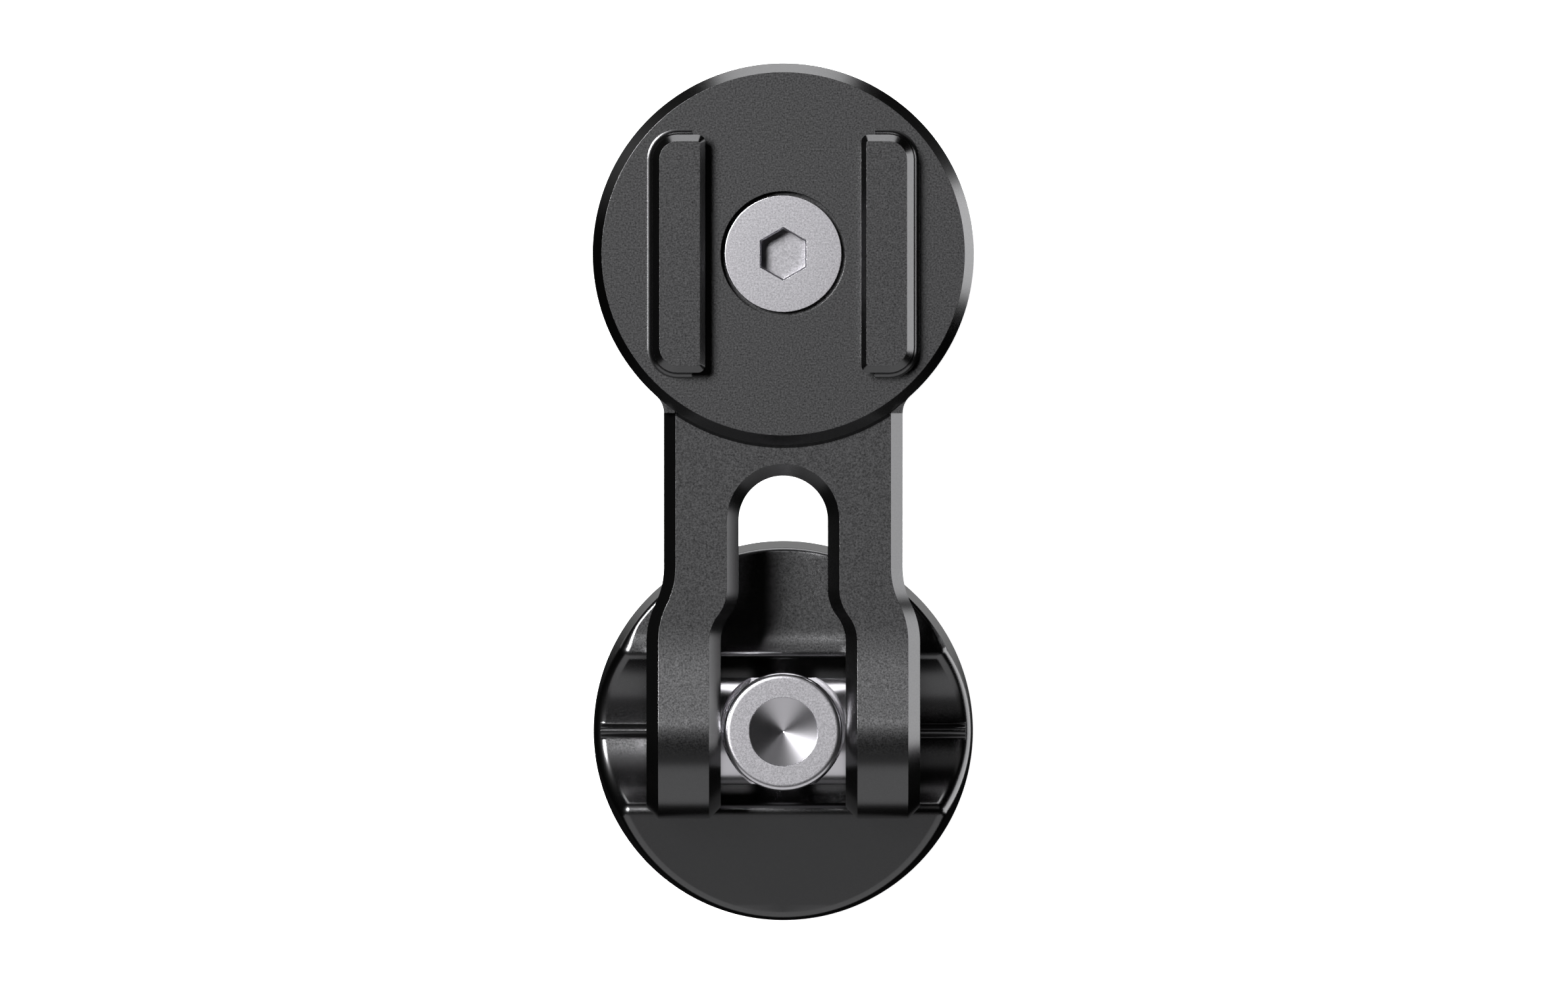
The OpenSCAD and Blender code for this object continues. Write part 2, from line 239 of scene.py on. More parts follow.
def skin(rings, caps=True, loop=False):
    """A skin through rings of points with equal counts, capped at its ends or closed on itself."""
    count = len(rings[0])
    points = [tuple(p) for ring in rings for p in ring]
    faces = []
    last = len(rings) if loop else len(rings) - 1
    for k in range(last):
        nxt = (k + 1) % len(rings)
        for i in range(count):
            j = (i + 1) % count
            faces.append((k * count + i, k * count + j, nxt * count + j, nxt * count + i))
    if caps and not loop:
        faces.append(tuple(range(count)))
        faces.append(tuple(range((len(rings) - 1) * count, len(rings) * count)))
    return points, faces


def lathe(profile, centre=(0, 0, 0), steps=ROUND_STEPS):
    """A closed (r, z) profile turned about the Z axis through centre."""
    cx, cy, cz = centre
    rings = []
    for k in range(steps):
        a = 2 * math.pi * k / steps
        rings.append([(cx + r * math.cos(a), cy + r * math.sin(a), cz + z) for r, z in profile])
    return skin(rings, loop=True)


def prism(outline, low, high):
    """A plan outline stood up between two heights."""
    return skin([[(x, y, z) for x, y in outline] for z in (low, high)])


def across(outline, half):
    """A (y, z) outline stretched along X."""
    return skin([[(x, y, z) for y, z in outline] for x in (-half, half)])


def moved(shape, matrix):
    """A shape carried by a matrix."""
    points, faces = shape
    return [tuple(matrix @ Vector(p)) for p in points], faces


def x_lathe(profile):
    """A closed (r, x) profile turned about the tilt axis."""
    turn = Matrix.Rotation(math.radians(90), 4, "Y")
    return moved(lathe(profile), Matrix.Translation((0, 0, PIVOT_H)) @ turn)


# ---- objects ----


def solid(name, shape, mirrored=False):
    """A watertight object from a shape, scaled to metres; mirrored adds the left-hand half."""
    points, faces = shape
    mesh = bpy.data.meshes.new(name)
    mesh.from_pydata([Vector(p) * MM for p in points], [], faces)
    work = bmesh.new()
    work.from_mesh(mesh)
    if mirrored:
        copy = bmesh.ops.duplicate(work, geom=work.verts[:] + work.edges[:] + work.faces[:])["geom"]
        flipped = [v for v in copy if isinstance(v, bmesh.types.BMVert)]
        bmesh.ops.scale(work, vec=(-1, 1, 1), verts=flipped)
        bmesh.ops.reverse_faces(work, faces=[f for f in copy if isinstance(f, bmesh.types.BMFace)])
    bmesh.ops.remove_doubles(work, verts=work.verts[:], dist=2e-7)
    bmesh.ops.dissolve_degenerate(work, dist=1e-8, edges=work.edges[:])
    bmesh.ops.recalc_face_normals(work, faces=work.faces[:])
    work.to_mesh(mesh)
    work.free()
    obj = bpy.data.objects.new(name, mesh)
    bpy.context.scene.collection.objects.link(obj)
    return obj


def combine(obj, shape, operation, mirrored=False):
    """Joins a shape to obj or cuts it from obj."""
    tool = solid("tool", shape, mirrored)
    modifier = obj.modifiers.new("combine", "BOOLEAN")
    modifier.operation = operation
    modifier.solver = "MANIFOLD"
    modifier.object = tool
    graph = bpy.context.evaluated_depsgraph_get()
    result = bpy.data.meshes.new_from_object(obj.evaluated_get(graph))
    obj.modifiers.clear()
    old = obj.data
    obj.data = result
    bpy.data.meshes.remove(old)
    used = tool.data
    bpy.data.objects.remove(tool)
    bpy.data.meshes.remove(used)


def cut(obj, shape, mirrored=False):
    combine(obj, shape, "DIFFERENCE", mirrored)


def join(obj, shape, mirrored=False):
    combine(obj, shape, "UNION", mirrored)


def finish_piece(obj, body, node, material, sharp=28):
    """Smooth shading, finish, and the CAD body and node that the piece belongs to."""
    mesh = obj.data
    mesh.shade_smooth()
    mesh.set_sharp_from_angle(angle=math.radians(sharp))
    weighted = obj.modifiers.new("weighted", "WEIGHTED_NORMAL")
    weighted.keep_sharp = True
    mesh.materials.clear()
    mesh.materials.append(material)
    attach(obj, body)
    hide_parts(node)


# ---- base cap ----


def land_at(y):
    """Height and normal (y, z) of the forward land, which steps down a little in front of the crest."""
    step = 0.01
    low, high = (s_bend(v - STEP_START, STEP_LEN, STEP_DROP) for v in (y - step, y + step))
    tilt = math.atan((high - low) / (2 * step))
    return LAND_H - s_bend(y - STEP_START, STEP_LEN, STEP_DROP), math.sin(tilt), math.cos(tilt)


def land_rim(y, crest_y):
    """Rim radius beside the land: small in front, and grown to the crest's radius where the crest starts."""
    share = min(max((crest_y + RIM_GROWTH - y) / RIM_GROWTH, 0), 1)
    return LAND_RIM + (RIM_R - LAND_RIM) * share * share * (3 - 2 * share)


def cap_stations():
    """Top profile of the cap from front to rider's side: y, z, normal y, normal z, rim radius."""
    crest_y = math.sqrt((TROUGH_R + CREST) ** 2 - (PIVOT_H - LAND_H + CREST) ** 2)
    crest_z = LAND_H - CREST
    meet = math.degrees(math.atan2(PIVOT_H - crest_z, -crest_y))
    stations = []
    front = rim_end(lambda y: (y, *land_at(y)), LAND_RIM, crest_y, BASE_R)
    for k in range(LAND_STEPS):
        y = front + (crest_y - front) * (1 - math.cos(math.pi / 2 * k / LAND_STEPS))
        stations.append((y, *land_at(y), land_rim(y, crest_y)))
    for a in np.radians(np.linspace(90, meet, CREST_STEPS + 1)):
        stations.append((crest_y + CREST * math.cos(a), crest_z + CREST * math.sin(a),
                         math.cos(a), math.sin(a), RIM_R))
    for k in range(1, TROUGH_STEPS):
        a = math.radians(meet - 180 + (180 - 2 * meet) * k / TROUGH_STEPS)
        stations.append((TROUGH_R * math.cos(a), PIVOT_H + TROUGH_R * math.sin(a),
                         -math.cos(a), -math.sin(a), RIM_R))
    for a in np.linspace(math.radians(180 - meet), math.pi / 2 + SLOPE, CREST_STEPS + 1):
        stations.append((-crest_y + CREST * math.cos(a), crest_z + CREST * math.sin(a),
                         math.cos(a), math.sin(a), RIM_R))
    start_y, start_z = stations[-1][:2]

    def slope_at(y):
        return y, start_z - (start_y - y) * math.tan(SLOPE), -math.sin(SLOPE), math.cos(SLOPE)

    rear = rim_end(slope_at, RIM_R, start_y, -BASE_R)
    for k in range(1, SLOPE_STEPS + 1):
        y = start_y + (rear - start_y) * math.sin(math.pi / 2 * k / SLOPE_STEPS)
        stations.append((*slope_at(y), RIM_R))
    return stations


def rim_x_squared(station):
    """Square of the half width of the cap's top at a station, up to its rim; negative past the end."""
    y, z, ny, nz, rim = station
    centre_y, centre_z = y - rim * ny, z - rim * nz
    radius = BASE_R - centre_z * math.tan(DRAFT) - rim / math.cos(DRAFT)
    return radius**2 - centre_y**2


def rim_end(profile, rim, inside, outside):
    """y at which the profile runs out at the rim, found by halving."""
    for _ in range(60):
        middle = (inside + outside) / 2
        if rim_x_squared((*profile(middle), rim)) > 0:
            inside = middle
        else:
            outside = middle
    return inside


def rolled_cap():
    """Right-hand half of the cap's body: the top profile, its rolled rim, the wall and the seat."""
    rings = []
    for station in cap_stations():
        y, z, ny, nz, rim = station
        x = math.sqrt(max(rim_x_squared(station), 0))
        centre = Vector((x, y - rim * ny, z - rim * nz))
        outward = Vector((x, centre.y, 0)).normalized() * math.cos(DRAFT)
        wall = Vector((outward.x, outward.y, math.sin(DRAFT)))
        top = Vector((0, ny, nz))
        ring = [Vector((0, y, z))]
        ring += [centre + rim * top.slerp(wall, k / RIM_STEPS) for k in range(RIM_STEPS + 1)]
        foot = Vector((outward.x, outward.y, 0)).normalized() * BASE_R
        ring.append(foot)
        ring.append(Vector((0, foot.y, 0)))
        rings.append([tuple(p) for p in ring])
    count = len(rings[0])
    points = [p for ring in rings for p in ring]
    faces = []
    for k in range(len(rings) - 1):
        for i in range(count - 1):
            a = k * count + i
            faces.append((a, a + 1, a + 1 + count, a + count))
    return points, faces


def rib():
    """Rib along the bottom of the trough, with a full round top and sloped feet."""
    floor = PIVOT_H - TROUGH_R
    outline = [(-RIB_R - RIB_FOOT, floor - BURIED), (RIB_R + RIB_FOOT, floor - BURIED),
               (RIB_R + RIB_FOOT, floor - 2 * HAIR)]
    outline += arc(RIB_R + RIB_FOOT, floor + RIB_FOOT, RIB_FOOT, 270, 180, 6)
    outline += arc(0, RIB_TOP - RIB_R, RIB_R, 0, 180, 12)
    outline += arc(-RIB_R - RIB_FOOT, floor + RIB_FOOT, RIB_FOOT, 0, -90, 6)
    half = BASE_R - RIB_TOP * math.tan(DRAFT) - RIB_SHORT
    return across(outline, half)


def build_cap(material):
    """Round base cap with its trough, rib, spigot and boss."""
    cap = solid("base_cap_body", rolled_cap(), mirrored=True)
    join(cap, rib())
    inner = SPIGOT_R - SPIGOT_WALL
    edge = SPIGOT_EDGE
    spigot = rounded([(BOSS_BORE, OVER), (SPIGOT_R, OVER), (SPIGOT_R, -SPIGOT_H), (inner, -SPIGOT_H),
                      (inner, 0), (BOSS_R, 0), (BOSS_R, -SPIGOT_H), (BOSS_BORE, -SPIGOT_H)],
                     [0, 0, edge, edge, 0, 0, edge, 0], steps=3)
    join(cap, lathe(spigot))
    low, high = -SPIGOT_H - OVER, LAND_H + OVER
    cut(cap, lathe([(0, low), (BOSS_BORE, low), (BOSS_BORE, high), (0, high)]))
    finish_piece(cap, "base", "base_cap", material)


# ---- fork arm ----


def top_z(y):
    """Height of the prong's top at distance y from the tilt axis."""
    start = BLEND_END - BLEND
    slope = math.tan(PRONG_SLOPE)
    if y >= BLEND_END:
        return ARM_TOP
    if y > start:
        return ARM_TOP + (BLEND_END - y) ** 2 * slope / (2 * BLEND)
    return ARM_TOP + BLEND * slope / 2 + (start - y) * slope


def outer_x(y):
    return FORK_X - s_bend(y - BEND_START, OUTER_BEND, FORK_X - NECK_X)


def inner_x(y):
    return GAP_X - s_bend(y - BEND_START, INNER_BEND, GAP_X - SLOT_X)


def bar_rows(above):
    """Rows of the bar's top (or bottom) skin from the neck to the bend's start.

    A row is the wall's inner point, the two points of the flat between the broken edges, and the
    wall's outer point. Past the slot's end the inner two points lie on the middle plane.
    """
    sign = -1 if above else 1
    rows = []
    for y in np.linspace(REACH - LOCATE_R, SLOT_END + SLOT_X + EDGE, 4)[:-1]:
        z = top_z(y) if above else ARM_BOTTOM
        rows.append([None, (0, y, z), (outer_x(y) - EDGE, y, z), (outer_x(y), y, z + sign * EDGE)])
    for a in np.radians(np.linspace(90, 0, SLOT_STEPS + 1)):
        wall = (SLOT_X * math.cos(a), SLOT_END + SLOT_X * math.sin(a))
        rim = ((SLOT_X + EDGE) * math.cos(a), SLOT_END + (SLOT_X + EDGE) * math.sin(a))
        z = top_z(rim[1]) if above else ARM_BOTTOM
        rows.append([(*wall, z + sign * EDGE), (*rim, z),
                     (outer_x(rim[1]) - EDGE, rim[1], z), (outer_x(rim[1]), rim[1], z + sign * EDGE)])
    straight = np.linspace(SLOT_END, BEND_START + OUTER_BEND, 4)[1:-1]
    bent = np.linspace(BEND_START + OUTER_BEND, BEND_START, BEND_STEPS + 1)
    for y in [*straight, *bent]:
        z = top_z(y) if above else eye_foot(y, EYE_FILLET)
        wall_z = z - EDGE if above else eye_foot(y, EYE_FILLET + EDGE, EDGE)
        rows.append([(inner_x(y), y, wall_z), (inner_x(y) + EDGE, y, z),
                     (outer_x(y) - EDGE, y, z), (outer_x(y), y, wall_z)])
    return rows


def fillet_centre():
    """Centre (y, z) of the fillet between a round prong end and the bar's underside."""
    z = ARM_BOTTOM - EYE_FILLET
    return math.sqrt((EYE_R + EYE_FILLET) ** 2 - (z - PIVOT_H) ** 2), z


def eye_foot(y, radius, rise=0.0):
    """Height of the bar's underside at y, or of its edge rise above it, with the fillet at the eye."""
    cy, cz = fillet_centre()
    if y >= cy:
        return ARM_BOTTOM + rise
    return cz + math.sqrt(radius**2 - (cy - y) ** 2)


def eye_pairs():
    """Outline points of the round end from the bend's start over the top to the bar's underside.

    Each is (y, z) on the skin and (y, z) drawn in by the broken edge.
    """
    pairs = []
    tangent = EYE_R * math.sin(PRONG_SLOPE)
    for y in np.linspace(BEND_START, tangent, 22)[1:-1]:
        pairs.append(((y, top_z(y)), (y, top_z(y) - EDGE)))
    cy, cz = fillet_centre()
    turn = math.degrees(math.atan2(cz - PIVOT_H, cy))
    for a in np.radians(np.linspace(90 - math.degrees(PRONG_SLOPE), 360 + turn, EYE_STEPS + 1)):
        direction = (math.cos(a), math.sin(a))
        pairs.append(tuple((r * direction[0], PIVOT_H + r * direction[1]) for r in (EYE_R, EYE_R - EDGE)))
    outer = [180 + turn, math.degrees(math.acos((BEND_START - cy) / EYE_FILLET))]
    inner = [180 + turn, math.degrees(math.acos((BEND_START - cy) / (EYE_FILLET + EDGE)))]
    for k in range(1, FILLET_STEPS):
        pair = []
        for radius, (start, end) in ((EYE_FILLET, outer), (EYE_FILLET + EDGE, inner)):
            a = math.radians(start + (end - start) * k / FILLET_STEPS)
            pair.append((cy + radius * math.cos(a), cz + radius * math.sin(a)))
        pairs.append(tuple(pair))
    return pairs


def fork_half():
    """Right-hand half of the arm from the head to the round prong end, as one closed skin."""
    rows = bar_rows(True)
    bar = len(rows)
    for skin_point, wall_point in eye_pairs():
        rows.append([(GAP_X, *wall_point), (GAP_X + EDGE, *skin_point),
                     (FORK_X - EDGE, *skin_point), (FORK_X, *wall_point)])
    rows += bar_rows(False)[::-1]
    points, index = [], {}
    for r, row in enumerate(rows):
        for c, point in enumerate(row):
            if point is not None:
                index[r, c] = len(points)
                points.append(point)
    faces = []
    for r in range(len(rows) - 1):
        for c in range(3):
            corners = [(r, c), (r, c + 1), (r + 1, c + 1), (r + 1, c)]
            if all(corner in index for corner in corners):
                faces.append(tuple(index[corner] for corner in corners))
    last = len(rows) - 1
    for r in range(bar - 1):
        for c in (0, 3):
            corners = [(r, c), (r + 1, c), (last - r - 1, c), (last - r, c)]
            if all(corner in index for corner in corners):
                faces.append(tuple(index[corner] for corner in corners))
    for c in (0, 3):
        faces.append(tuple(index[r, c] for r in range(bar - 1, last - bar + 2)))
    end = [(0, c) for c in (1, 2, 3)] + [(last, c) for c in (3, 2, 1)]
    faces.append(tuple(index[corner] for corner in end))
    return points, faces


def relief_sector():
    """Sector that clears the cap's rib under the round prong ends, as a (y, z) outline."""
    start, end = (270 + a for a in RELIEF_ANGLES)
    inner = arc(0, PIVOT_H, RELIEF_R, start, end, 24)
    outer = arc(0, PIVOT_H, EYE_R + 2 * OVER, end, start, 24)
    return across(inner + outer, FORK_X + OVER)


def head_web():
    """Inside corner between the round head and the arm's side, on the right."""
    cx = NECK_X + WEB_R
    dy = math.sqrt((HEAD_R + WEB_R) ** 2 - cx**2)
    end = 180 - math.degrees(math.atan2(dy, cx))
    outline = [(NECK_X - OVER, REACH - dy)]
    outline += arc(cx, REACH - dy, WEB_R, 180, end, 10)
    outline.append((NECK_X - OVER, REACH - dy + 2 * WEB_R))
    return prism(outline, ARM_BOTTOM + EDGE, SEAT_Z - HAIR)


def head_foot():
    """Steep sloped foot round the head's boss, kept between the arm's broken edges."""
    foot = HEAD_R + BOSS_FOOT
    profile = [(HEAD_R - OVER, -BOSS_ROOT), (foot, -BOSS_ROOT), (foot, 0), (HEAD_R, BOSS_RISE),
               (HEAD_R - OVER, BOSS_RISE)]
    half = math.degrees(math.asin((NECK_X - EDGE) / foot))
    rings = []
    for a in np.radians(np.linspace(-90 - half, -90 + half, 60)):
        rings.append([(r * math.cos(a), REACH + r * math.sin(a), ARM_TOP + z) for r, z in profile])
    return skin(rings)


def build_arm(material):
    """Fork arm with its round head, pocket, bores and reliefs."""
    arm = solid("fork_arm_body", fork_half(), mirrored=True)
    centre = (0, REACH, 0)
    head = rounded([(0, ARM_BOTTOM), (HEAD_R, ARM_BOTTOM), (HEAD_R, SEAT_Z), (0, SEAT_Z)],
                   [0, HEAD_EDGE, SEAT_EDGE, 0], steps=5)
    join(arm, lathe(head, centre))
    join(arm, head_web(), mirrored=True)
    join(arm, head_foot())
    bore, past = BARREL_R + RUN_FIT, FORK_X + OVER
    cut(arm, x_lathe([(0, -past), (bore, -past), (bore, past), (0, past)]))
    cut(arm, relief_sector())
    pocket = [(0, ARM_BOTTOM - OVER), (FLANGE_R, ARM_BOTTOM - OVER), (FLANGE_R, ARM_BOTTOM + FLANGE_T),
              (INSERT_R, ARM_BOTTOM + FLANGE_T), (INSERT_R, POCKET_Z), (LOCATE_R + RUN_FIT, POCKET_Z),
              (LOCATE_R + RUN_FIT, SEAT_Z + OVER), (0, SEAT_Z + OVER)]
    cut(arm, lathe(pocket, centre))
    low, high = POCKET_Z - DOWEL_DEPTH, POCKET_Z + OVER
    for side in (-1, 1):
        hole = [(0, low), (DOWEL_R, low), (DOWEL_R, high), (0, high)]
        cut(arm, lathe(hole, (0, REACH + side * DOWEL_CIRCLE, 0), DOWEL_STEPS))
    finish_piece(arm, "arm", "fork_arm", material)


# ---- head ----


def lug_outline(inset, inner=0.0):
    """Plan outline of the right-hand lug, drawn in on its outer side and ends, and on its inner side."""
    x0, x1, y = LUG_IN + inner, LUG_OUT - inset, LUG_Y - inset
    corners = [(x0, -y), (x1, -y), (x1, y), (x0, y)]
    round_in = max(LUG_INNER_CORNER - inner, LUG_LEAST_CORNER)
    round_out = LUG_CORNER - inset
    outline = rounded(corners, [round_in, round_out, round_out, round_in], steps=8)
    return [(a, b + REACH) for a, b in outline]


def lug():
    """One twist-lock lug: undercut foot, lip and broken top edges."""
    levels = [(LUG_UNDERCUT, 0, -BURIED), (LUG_UNDERCUT, 0, LUG_H - LUG_LIP), (0, 0, LUG_H - LUG_LIP),
              (0, 0, LUG_H - LUG_EDGE), (LUG_EDGE, LUG_INNER_EDGE, LUG_H)]
    rings = []
    for inset, inner, z in levels:
        rings.append([(x, y, DISC_TOP + z) for x, y in lug_outline(inset, inner)])
    return skin(rings)


def lug_foot():
    """Hollow fillet between the disc and the right-hand lug's outer side and ends."""
    levels = [(LUG_FILLET * (1 - math.sin(a)), LUG_FILLET * (1 - math.cos(a)))
              for a in np.radians(np.linspace(10, 90, 10))]
    levels.insert(0, (levels[0][0], -BURIED))
    rings = []
    for out, z in levels:
        x1, y = LUG_OUT + out, LUG_Y + out
        corners = [(FILLET_START, -y), (x1, -y), (x1, y), (FILLET_START, y)]
        outline = rounded(corners, [0, LUG_CORNER + out, LUG_CORNER + out, 0], steps=10)
        rings.append([(a, b + REACH, DISC_TOP + z) for a, b in outline])
    return skin(rings)


def build_disc(material):
    """Twist-lock disc with two lugs, a sunk screw seat and four dowel holes."""
    centre = (0, REACH, 0)
    seat = DISC_TOP - CSK_SINK - CSK_SEAT
    ring = CSK_R + CSK_GAP
    hole = SCREW_R + HOLE_FIT
    profile = rounded([(hole, POCKET_Z), (LOCATE_R, POCKET_Z), (LOCATE_R, SEAT_Z), (HEAD_R, SEAT_Z),
                       (HEAD_R, SEAT_Z + RIM_LAND), (HEAD_R - DISC_EDGE, DISC_TOP), (ring, DISC_TOP),
                       (ring, seat), (CSK_R - CSK_SEAT, seat), (hole, seat - CSK_R + CSK_SEAT + hole)],
                      [0, LOCATE_EDGE, 0, 0, 0, 0, 0, 0, 0, 0], steps=3)
    disc = solid("head_disc_body", lathe(profile, centre))
    join(disc, lug_foot(), mirrored=True)
    join(disc, lug(), mirrored=True)
    radius, low, high = DOWEL_R + RUN_FIT, POCKET_Z - OVER, POCKET_Z + DOWEL_DEPTH
    for a in np.radians([0, 90, 180, 270]):
        place = (DOWEL_CIRCLE * math.cos(a), REACH + DOWEL_CIRCLE * math.sin(a), 0)
        cut(disc, lathe([(0, low), (radius, low), (radius, high), (0, high)], place, DOWEL_STEPS))
    finish_piece(disc, "arm", "head_disc", material, sharp=12)


# ---- threads, screws and barrel ----


def thread_r(radius, z, angle):
    """Radius of a rolled right-hand thread's skin."""
    phase = (z / PITCH - angle / (2 * math.pi)) % 1
    wave = abs(2 * phase - 1)
    share = min(max((wave - THREAD_ROOT) / (1 - THREAD_ROOT - THREAD_CREST), 0), 1)
    return radius - THREAD_DEPTH * (1 - share)


def cut_thread(shape, radius, low, high, centre=(0, 0)):
    """Presses a thread into a turned shape between two heights."""
    points, faces = shape
    out = []
    for x, y, z in points:
        dx, dy = x - centre[0], y - centre[1]
        here = math.hypot(dx, dy)
        if low <= z <= high and CORE_R < here <= radius + TINY:
            deep = thread_r(radius, z, math.atan2(dy, dx))
            if here > radius - TINY:
                target = radius + (deep - radius) * min(1, (high - z) / PITCH)
            else:
                target = min(here, deep)
            dx, dy = dx * target / here, dy * target / here
        out.append((centre[0] + dx, centre[1] + dy, z))
    return out, faces


def shank(radius, low, high):
    """(r, z) points of a threaded shank from its tip up, close enough together to carry a thread."""
    core = radius - THREAD_TIP
    points = [(0, low), (core, low)]
    points += [(core + t, low + t) for t in np.linspace(0, THREAD_TIP, TIP_STEPS + 1)[1:-1]]
    count = int((high - low - THREAD_TIP) / PITCH * STEPS_PER_PITCH)
    points += [(radius, z) for z in np.linspace(low + THREAD_TIP, high, count)]
    return points


def build_bolt(material):
    """Clamp bolt with a cap head, a cone-shaped recess and a rolled thread."""
    low = BOLT_UNDER - BOLT_LEN
    thread_top = low + THREAD_LEN
    top = BOLT_UNDER + HEAD_BOLT_H
    profile = shank(THREAD_R, low, thread_top)
    floor = top - DRIVE_WALL - DRIVE_CONE
    foot, edge = HEAD_BOLT_FOOT, HEAD_BOLT_EDGE
    profile += [(SCREW_R, thread_top + RUNOUT), (SCREW_R, BOLT_UNDER)]
    profile += arc(HEAD_BOLT_R - foot, BOLT_UNDER + foot, foot, -90, 0, 4)
    profile += arc(HEAD_BOLT_R - edge, top - edge, edge, 0, 90, 8)
    profile += [(HEAD_BOLT_R - edge - SUPPORT, top), (DRIVE_R + DRIVE_EDGE + SUPPORT, top)]
    profile += [(DRIVE_R + DRIVE_EDGE, top), (DRIVE_R, top - DRIVE_EDGE), (DRIVE_R, top - DRIVE_WALL)]
    profile += [(SUPPORT, floor + SUPPORT * DRIVE_CONE / DRIVE_R), (0, floor)]
    shape = lathe(profile, steps=SCREW_STEPS)
    bolt = solid("clamp_bolt_body", cut_thread(shape, THREAD_R, low, thread_top))
    finish_piece(bolt, "bolt", "clamp_bolt", material)


def build_head_screw(material):
    """Countersunk screw with a hexagon socket."""
    top = DISC_TOP - CSK_SINK
    neck = top - (CSK_R - SCREW_R)
    profile = shank(SCREW_R, SCREW_TIP, neck)
    profile += rounded([(SCREW_R, neck + HAIR), (CSK_R, top), (0, top)], [0, CSK_EDGE, 0], steps=4)[1:]
    shape = lathe(profile, (0, REACH, 0), steps=SCREW_STEPS)
    screw = solid("head_screw_body", cut_thread(shape, SCREW_R, SCREW_TIP, neck - NECK_LAND, (0, REACH)))
    floor = top - HEX_DEPTH
    levels = [(HEX_R + HEX_EDGE + HEX_LEAD, top + HEX_LEAD), (HEX_R, top - HEX_EDGE),
              (HEX_R, floor + HEX_FOOT[1]), (HEX_R - HEX_FOOT[0], floor)]
    rings = []
    for radius, z in levels:
        rings.append([(radius * math.cos(a), REACH + radius * math.sin(a), z)
                      for a in np.radians(np.arange(30, 390, 60))])
    cut(screw, skin(rings))
    finish_piece(screw, "arm", "head_screw", material)


def build_barrel(material):
    """Cross barrel, turned a little in its free play, with the bolt's bore and counterbore."""
    profile = rounded([(0, -BARREL_X), (BARREL_R, -BARREL_X), (BARREL_R, BARREL_X), (0, BARREL_X)],
                      [0, BARREL_EDGE, BARREL_EDGE, 0], steps=5)
    barrel = solid("pivot_barrel_body", x_lathe(profile))
    tilt = Matrix.Translation((0, 0, PIVOT_H)) @ Matrix.Rotation(BARREL_TILT, 4, "X")
    past = BARREL_R + OVER
    bore = [(0, -past), (BARREL_BORE, -past), (BARREL_BORE, BARREL_SEAT), (COUNTERBORE_R, BARREL_SEAT),
            (COUNTERBORE_R, past), (0, past)]
    cut(barrel, moved(lathe(bore), tilt))
    finish_piece(barrel, "barrel", "pivot_barrel", material)


# ---- finishes ----


def metal(name, colour, roughness, grain, grain_scale, soft_edge):
    """A bare or dyed metal with softened edges and a fine grain on its level faces."""
    material = bpy.data.materials.new(name)
    material.use_nodes = True
    nodes, links = material.node_tree.nodes, material.node_tree.links
    shader = nodes["Principled BSDF"]
    shader.inputs["Metallic"].default_value = 1.0
    shader.inputs["Roughness"].default_value = roughness
    place = nodes.new("ShaderNodeTexCoord")
    noise = nodes.new("ShaderNodeTexNoise")
    noise.inputs["Scale"].default_value = grain_scale
    noise.inputs["Detail"].default_value = 2.0
    links.new(place.outputs["Object"], noise.inputs["Vector"])
    facing = nodes.new("ShaderNodeSeparateXYZ")
    links.new(place.outputs["Normal"], facing.inputs["Vector"])
    level = nodes.new("ShaderNodeMapRange")
    level.inputs["From Min"].default_value = 0.95
    level.inputs["From Max"].default_value = 0.99
    level.inputs["To Min"].default_value = 0.1
    level.inputs["To Max"].default_value = 1.0
    links.new(facing.outputs["Z"], level.inputs["Value"])
    spread = nodes.new("ShaderNodeMapRange")
    spread.clamp = False
    spread.inputs["From Min"].default_value = 0.25
    spread.inputs["From Max"].default_value = 0.75
    spread.inputs["To Min"].default_value = -grain
    spread.inputs["To Max"].default_value = grain
    links.new(noise.outputs["Fac"], spread.inputs["Value"])
    speckle = nodes.new("ShaderNodeMath")
    speckle.operation = "MULTIPLY_ADD"
    links.new(spread.outputs["Result"], speckle.inputs[0])
    links.new(level.outputs["Result"], speckle.inputs[1])
    speckle.inputs[2].default_value = 1.0
    tint = nodes.new("ShaderNodeVectorMath")
    tint.operation = "SCALE"
    tint.inputs[0].default_value = colour
    links.new(speckle.outputs["Value"], tint.inputs["Scale"])
    links.new(tint.outputs["Vector"], shader.inputs["Base Color"])
    bevel = nodes.new("ShaderNodeBevel")
    bevel.samples = 4
    bevel.inputs["Radius"].default_value = soft_edge * MM
    links.new(bevel.outputs["Normal"], shader.inputs["Normal"])
    return material


def floor_finish():
    """Pale floor, bright enough to read as a plain background."""
    material = bpy.data.materials.new("pale_floor")
    material.use_nodes = True
    shader = material.node_tree.nodes["Principled BSDF"]
    shader.inputs["Base Color"].default_value = (0.9, 0.9, 0.9, 1)
    shader.inputs["Roughness"].default_value = 0.9
    shader.inputs["Emission Color"].default_value = (1, 1, 1, 1)
    shader.inputs["Emission Strength"].default_value = 0.9
    return material


# ---- studio ----


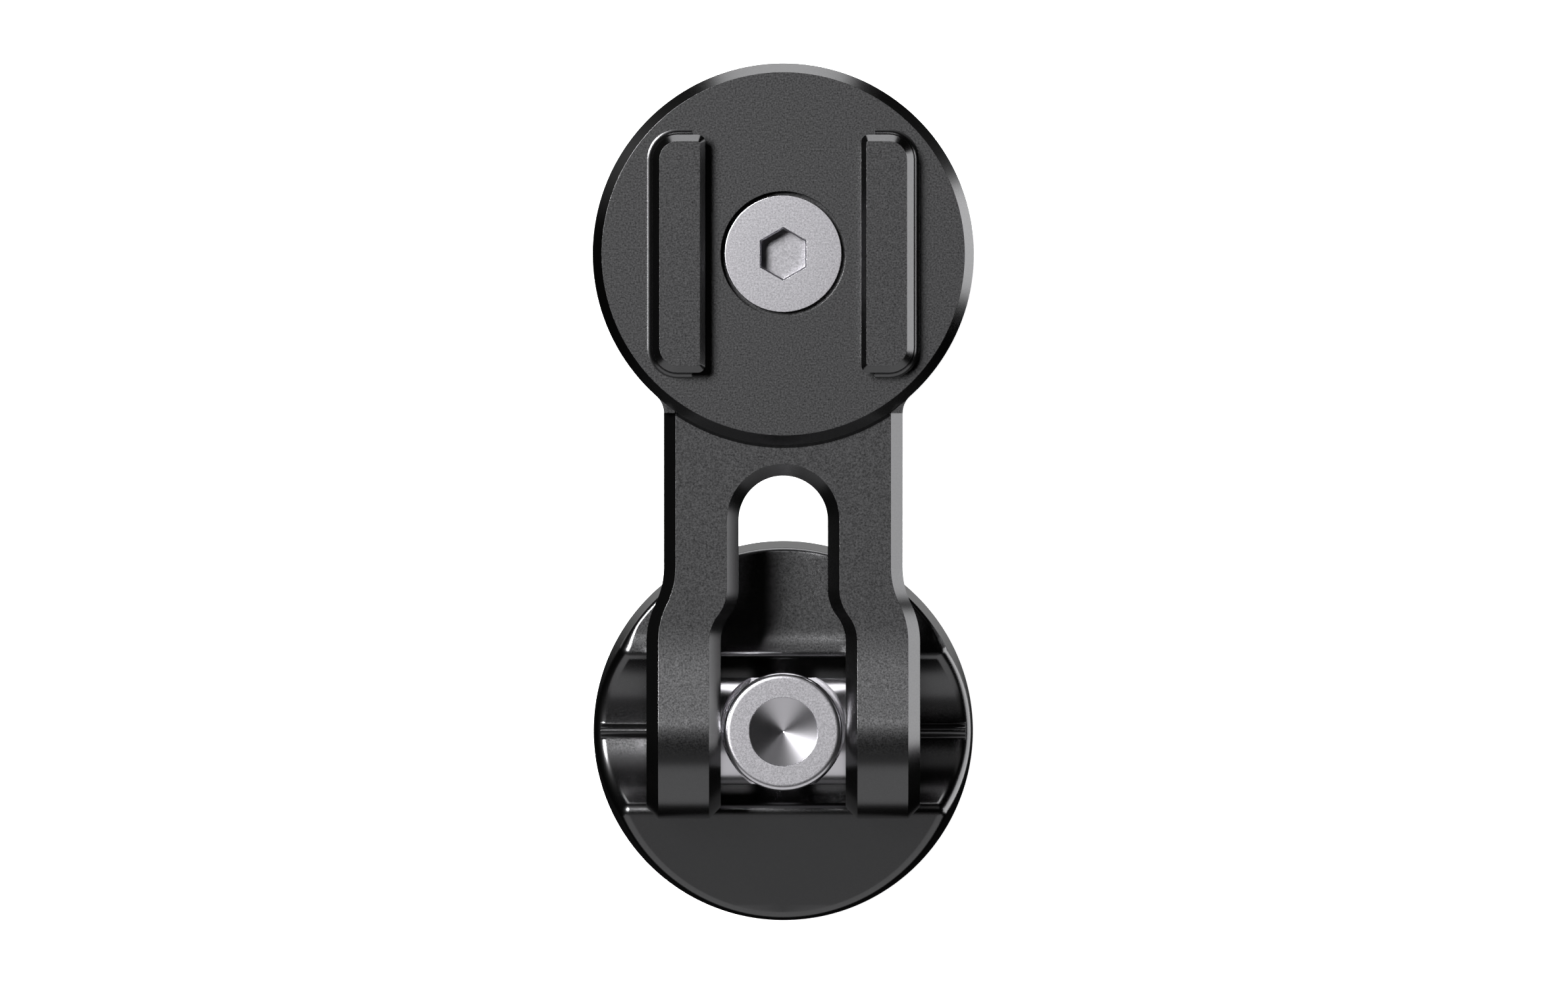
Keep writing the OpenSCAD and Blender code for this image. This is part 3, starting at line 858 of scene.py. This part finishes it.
def panel(name, zenith, clock, width, height, radiance):
    """A soft light aimed at the part, placed by its angle from overhead and its clock direction.

    clock is in degrees, 0 at the top of the picture and clockwise; width and height are in degrees.
    """
    tilt, turn = math.radians(zenith), math.radians(clock)
    direction = Vector((math.sin(tilt) * math.sin(turn), math.sin(tilt) * math.cos(turn), math.cos(tilt)))
    data = bpy.data.lights.new(name, "AREA")
    data.shape = "RECTANGLE"
    data.size = 2 * PANEL_DISTANCE * math.tan(math.radians(width) / 2)
    data.size_y = 2 * PANEL_DISTANCE * math.tan(math.radians(height) / 2)
    data.energy = radiance * math.pi * data.size * data.size_y
    light = bpy.data.objects.new(name, data)
    bpy.context.scene.collection.objects.link(light)
    light.location = Vector(AIM) + direction * PANEL_DISTANCE
    light.rotation_euler = (Matrix.Rotation(-turn, 4, "Z") @ Matrix.Rotation(-tilt, 4, "X")).to_euler()
    light.visible_camera = False


def build_studio():
    """Pale floor and background, dark surroundings for reflections, and the light panels."""
    world = bpy.data.worlds.new("studio")
    bpy.context.scene.world = world
    world.use_nodes = True
    nodes, links = world.node_tree.nodes, world.node_tree.links
    nodes["Background"].inputs["Color"].default_value = (1, 1, 1, 1)
    rays = nodes.new("ShaderNodeLightPath")
    strength = nodes.new("ShaderNodeMapRange")
    strength.inputs["To Min"].default_value = DARK_WORLD
    strength.inputs["To Max"].default_value = PALE_WORLD
    links.new(rays.outputs["Is Camera Ray"], strength.inputs["Value"])
    links.new(strength.outputs["Result"], nodes["Background"].inputs["Strength"])
    panel("key_left", 28, 303, 18, 18, 82.0)
    panel("right_wall", 104, 85, 32, 52, 3.9)
    panel("top_wall", 105, 0, 38, 38, 4.1)
    panel("bottom_wall", 79, 180, 100, 66, 0.82)
    panel("under_top", 155, 8, 110, 36, 0.45)
    panel("bottom_high", 35, 180, 60, 24, 0.14)
    panel("top_high", 35, 0, 60, 24, 0.25)
    bpy.ops.mesh.primitive_plane_add(size=FLOOR_SIZE, location=(0, 0, FLOOR_Z))
    floor = bpy.context.object
    floor.name = "floor"
    floor.data.materials.append(floor_finish())
    floor.visible_glossy = False
    floor.visible_diffuse = False


def build_camera():
    """Straight above the part through a long lens."""
    data = bpy.data.cameras.new("camera")
    data.sensor_width = SENSOR
    data.lens = SENSOR * VIEW_DISTANCE / VIEW_WIDTH
    data.clip_end = 3 * VIEW_DISTANCE
    camera = bpy.data.objects.new("camera", data)
    bpy.context.scene.collection.objects.link(camera)
    camera.location = (*VIEW_CENTRE, VIEW_DISTANCE)
    bpy.context.scene.camera = camera


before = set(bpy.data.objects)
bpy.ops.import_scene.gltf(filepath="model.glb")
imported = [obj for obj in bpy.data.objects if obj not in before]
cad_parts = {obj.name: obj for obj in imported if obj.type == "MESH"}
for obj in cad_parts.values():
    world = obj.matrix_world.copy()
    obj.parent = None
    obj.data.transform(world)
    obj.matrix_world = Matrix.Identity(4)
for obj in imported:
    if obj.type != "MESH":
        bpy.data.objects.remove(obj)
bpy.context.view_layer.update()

black = metal("black_anodised_finish", (0.086, 0.086, 0.088), 0.25, 0.6, 6500, 0.05)
steel = metal("bolt_steel_finish", (0.55, 0.54, 0.57), 0.25, 0.3, 6500, 0.04)
barrel_steel = metal("barrel_steel_finish", (0.52, 0.51, 0.54), 0.25, 0.03, 6000, 0.04)

build_cap(black)
build_arm(black)
build_disc(black)
build_bolt(steel)
build_head_screw(steel)
build_barrel(barrel_steel)
for name in ("thread_insert", "head_dowels"):
    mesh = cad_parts[name].data
    mesh.materials.clear()
    mesh.materials.append(steel)

build_studio()
build_camera()
bpy.context.scene.view_settings.view_transform = "Standard"
